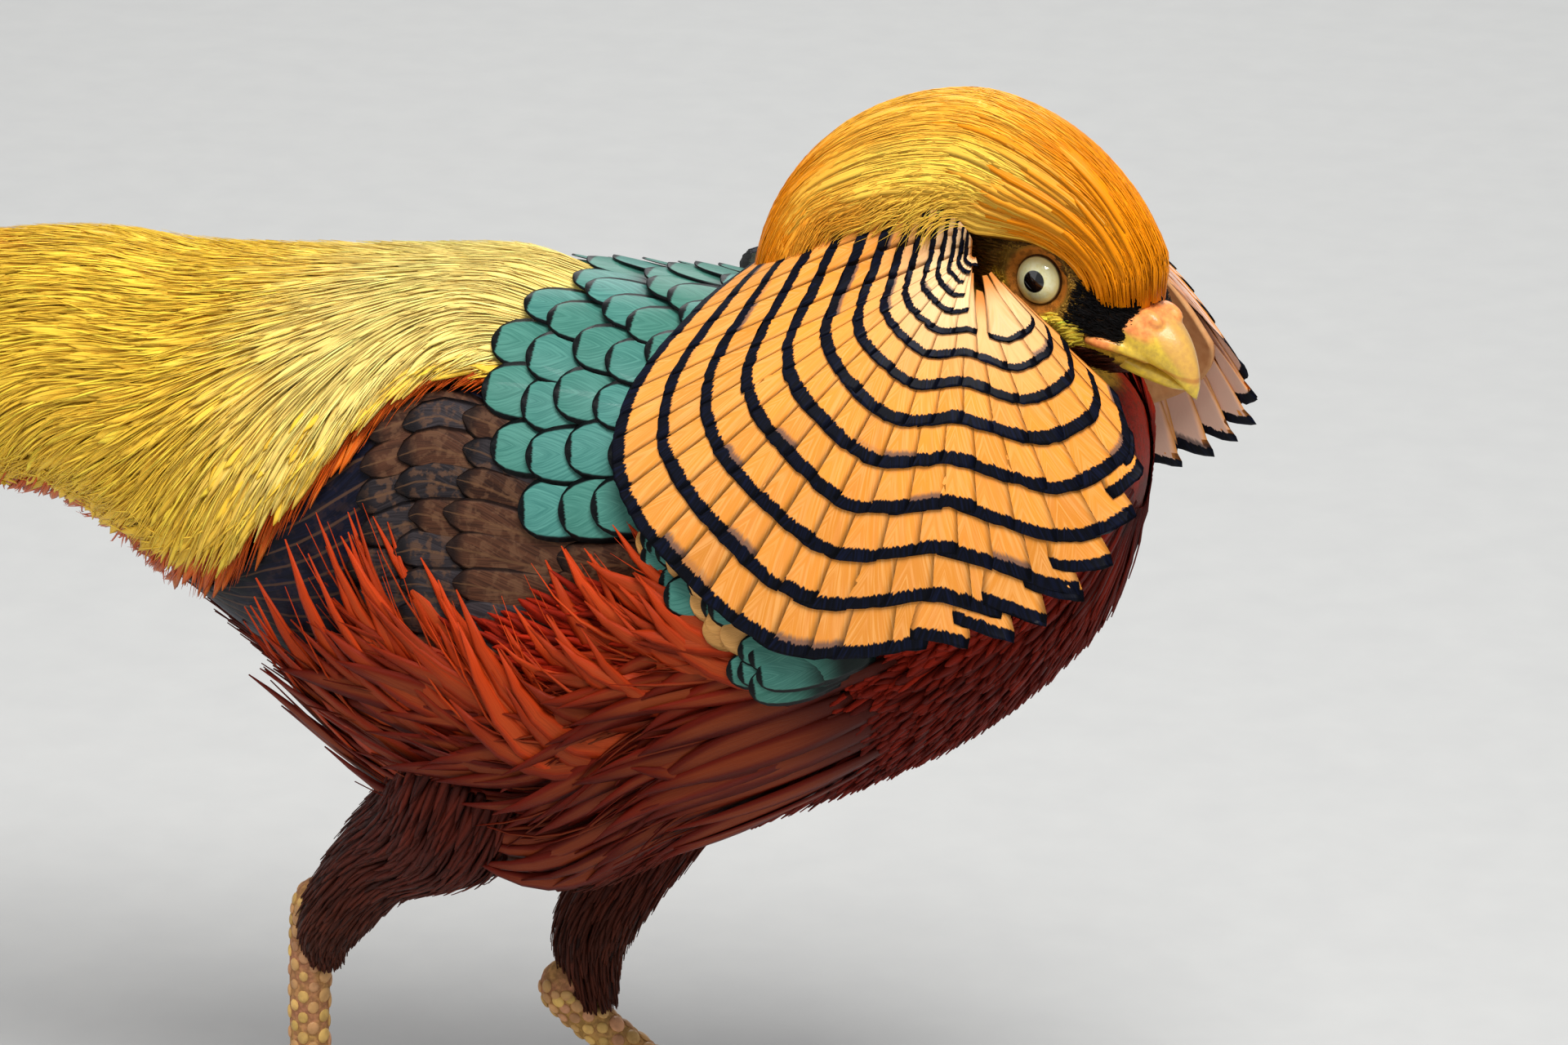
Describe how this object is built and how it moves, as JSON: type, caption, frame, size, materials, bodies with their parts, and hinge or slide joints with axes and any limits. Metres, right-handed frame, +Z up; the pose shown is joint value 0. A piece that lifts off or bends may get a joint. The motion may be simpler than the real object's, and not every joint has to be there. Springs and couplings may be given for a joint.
{
  "type": "golden pheasant model",
  "caption": "Life-size standing model of a male golden pheasant, head turned aside, with crest, barred cape and long tail.",
  "frame": {"origin": "middle of the flat pad under the right foot, on the floor", "axes": "+X the way the body faces, +Y to the bird's left, +Z up"},
  "size_m": [0.9648, 0.1196, 0.2591],
  "materials": {
    "breast_feathers": "soft, fine and hair-like",
    "throat_feathers": "soft and matt",
    "face_skin": "bare skin with fine bristles",
    "bill_horn": "smooth horn",
    "eye": "wet and glossy",
    "crest_feathers": "silky strands",
    "cape_feathers": "broad bars of orange and blue-black",
    "mantle_feathers": "scale-like, with dark edges",
    "rump_feathers": "long and hair-like",
    "wing_feathers": "firm vanes",
    "flank_feathers": "long lance-shaped feathers",
    "covert_feathers": "long narrow feathers",
    "tail_feathers": "stiff, net-marked vanes",
    "thigh_feathers": "short and soft",
    "leg_scales": "horny scutes"
  },
  "bodies": {
    "root": {"torso": "breast_feathers", "neck": "throat_feathers", "head": "face_skin", "upper_bill": "bill_horn", "lower_bill": "bill_horn", "eye_right": "eye", "eye_left": "eye", "crest": "crest_feathers", "cape_right": "cape_feathers", "cape_left": "cape_feathers", "mantle": "mantle_feathers", "back_and_rump": "rump_feathers", "wing_right": "wing_feathers", "wing_left": "wing_feathers", "flank_right": "flank_feathers", "flank_left": "flank_feathers", "tail_coverts_right": "covert_feathers", "tail_coverts_left": "covert_feathers", "tail": "tail_feathers", "thigh_right": "thigh_feathers", "thigh_left": "thigh_feathers", "tarsus_right": "leg_scales", "tarsus_left": "leg_scales", "foot_right": "leg_scales", "foot_left": "leg_scales"}
  },
  "joints": []
}
